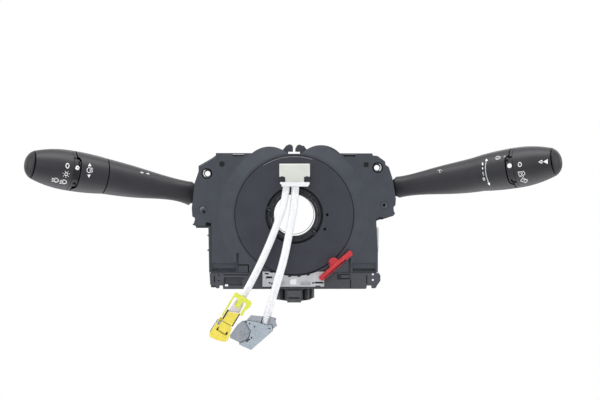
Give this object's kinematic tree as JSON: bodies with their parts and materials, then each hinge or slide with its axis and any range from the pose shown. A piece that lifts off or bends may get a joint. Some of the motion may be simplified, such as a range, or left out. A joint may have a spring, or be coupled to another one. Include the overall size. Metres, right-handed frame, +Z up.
{
  "type": "combination stalk switch",
  "caption": "Steering column switch: flat housing on a column collar, two control stalks, spiral cable rotor with plugged leads and a transport lock.",
  "frame": {"origin": "on the steering axis, in the rear mounting plane of the housing, inside the column collar", "axes": "+X to the driver's right, along both stalks; +Y forward along the steering column, away from the driver; +Z up"},
  "size_m": [0.4577, 0.0847, 0.1748],
  "materials": {
    "housing_black": "fine grain",
    "hub_black": "fine grain",
    "stalk_black": "soft-touch grain",
    "core_grey": "smooth",
    "bracket_grey": "smooth",
    "guide_cream": "translucent smooth",
    "flange_white": "smooth",
    "sleeve_white": "corrugated",
    "boot_white": "smooth",
    "screw_black": "black oxide",
    "plug_yellow": "smooth",
    "plug_grey": "smooth",
    "lock_red": "smooth",
    "zinc_steel": "zinc plated",
    "collar_aluminium": "die cast",
    "board_green": "solder resist",
    "contact_brass": "tinned",
    "ribbon_film": "polyester film"
  },
  "bodies": {
    "root": {"rear_housing": "housing_black", "front_cover": "housing_black", "connector_tray": "housing_black", "latch_bracket": "bracket_grey", "cover_screws": "screw_black", "column_collar": "collar_aluminium", "clamp_screw": "zinc_steel", "clamp_nut": "zinc_steel", "circuit_board": "board_green", "main_connector": "housing_black", "connector_pins": "contact_brass", "side_connector": "guide_cream", "clock_spring_stator": "housing_black", "flat_cable_spiral": "ribbon_film", "left_pivot_pin": "zinc_steel", "left_detent_track": "housing_black", "right_pivot_pin": "zinc_steel", "right_detent_track": "housing_black"},
    "rotor": {"rotor_disc": "housing_black", "hub_sleeve": "hub_black", "hub_lock_ring": "housing_black", "cancel_cam": "housing_black", "cable_guide": "guide_cream", "guide_flange": "flange_white", "airbag_cable_sleeve": "sleeve_white", "horn_cable_sleeve": "sleeve_white", "airbag_wire_boot": "boot_white", "airbag_plug_body": "plug_yellow", "horn_plug_body": "plug_grey", "horn_plug_cap": "plug_grey", "horn_plug_latch": "plug_grey"},
    "airbag_lock": {"airbag_plug_lock": "plug_yellow"},
    "transport_lock": {"transport_lock": "lock_red"},
    "left_carrier": {"left_carrier": "housing_black", "left_pull_pin": "zinc_steel", "left_detent_plunger": "flange_white"},
    "left_stalk": {"left_lever": "stalk_black", "left_switch_core": "core_grey", "light_index_ring": "stalk_black", "left_button_switch": "core_grey"},
    "fog_ring": {"fog_ring": "stalk_black"},
    "light_barrel": {"light_barrel": "stalk_black"},
    "left_end_button": {"left_end_button": "stalk_black", "left_button_plunger": "core_grey"},
    "right_carrier": {"right_carrier": "housing_black", "right_pull_pin": "zinc_steel", "right_detent_plunger": "flange_white"},
    "right_stalk": {"right_lever": "stalk_black", "right_switch_core": "core_grey", "wiper_index_ring": "stalk_black", "right_button_switch": "core_grey"},
    "rear_wiper_barrel": {"rear_wiper_barrel": "stalk_black"},
    "right_end_button": {"right_end_button": "stalk_black", "right_button_plunger": "core_grey"}
  },
  "joints": [
    {"name": "rotor_spin", "type": "hinge", "parent": "root", "child": "rotor", "pos_m": [0, -0.02, 0], "axis": [0, 1, 0], "range_deg": [-900, 900]},
    {"name": "airbag_lock_slide", "type": "slide", "parent": "rotor", "child": "airbag_lock", "axis": [-0.5108, 0, -0.8597], "range_m": [0, 0.003]},
    {"name": "transport_lock_slide", "type": "slide", "parent": "root", "child": "transport_lock", "axis": [0, -1, 0], "range_m": [0, 0.014]},
    {"name": "indicator_turn", "type": "hinge", "parent": "root", "child": "left_carrier", "pos_m": [-0.055, -0.015, 0.017], "axis": [0, 1, 0], "range_deg": [-7, 7]},
    {"name": "flash_pull", "type": "hinge", "parent": "left_carrier", "child": "left_stalk", "pos_m": [-0.068, -0.01019, 0.017], "axis": [0, 0, 1], "range_deg": [0, 7], "stiffness_Nm_per_rad": 3, "springref_deg": -3.44},
    {"name": "fog_ring_turn", "type": "hinge", "parent": "left_stalk", "child": "fog_ring", "pos_m": [-0.17532, -0.04136, 0.03529], "axis": [-0.9492, -0.2756, 0.152], "range_deg": [-5, 5], "stiffness_Nm_per_rad": 0.6},
    {"name": "light_barrel_turn", "type": "hinge", "parent": "left_stalk", "child": "light_barrel", "pos_m": [-0.20664, -0.05045, 0.0403], "axis": [-0.9492, -0.2756, 0.152], "range_deg": [0, 50]},
    {"name": "left_button_press", "type": "slide", "parent": "left_stalk", "child": "left_end_button", "axis": [0.9492, 0.2756, -0.152], "range_m": [0, 0.001], "stiffness_N_per_m": 1500, "springref_m": -0.0006},
    {"name": "wiper_turn", "type": "hinge", "parent": "root", "child": "right_carrier", "pos_m": [0.055, -0.015, 0.0208], "axis": [0, -1, 0], "range_deg": [-5, 13.5]},
    {"name": "wash_pull", "type": "hinge", "parent": "right_carrier", "child": "right_stalk", "pos_m": [0.068, -0.01019, 0.0208], "axis": [0, 0, -1], "range_deg": [0, 7], "stiffness_Nm_per_rad": 3, "springref_deg": -3.44},
    {"name": "rear_wiper_turn", "type": "hinge", "parent": "right_stalk", "child": "rear_wiper_barrel", "pos_m": [0.20475, -0.0499, 0.0427], "axis": [-0.9492, 0.2756, -0.152], "range_deg": [0, 50]},
    {"name": "right_button_press", "type": "slide", "parent": "right_stalk", "child": "right_end_button", "axis": [-0.9492, 0.2756, -0.152], "range_m": [0, 0.001], "stiffness_N_per_m": 1500, "springref_m": -0.0006}
  ]
}
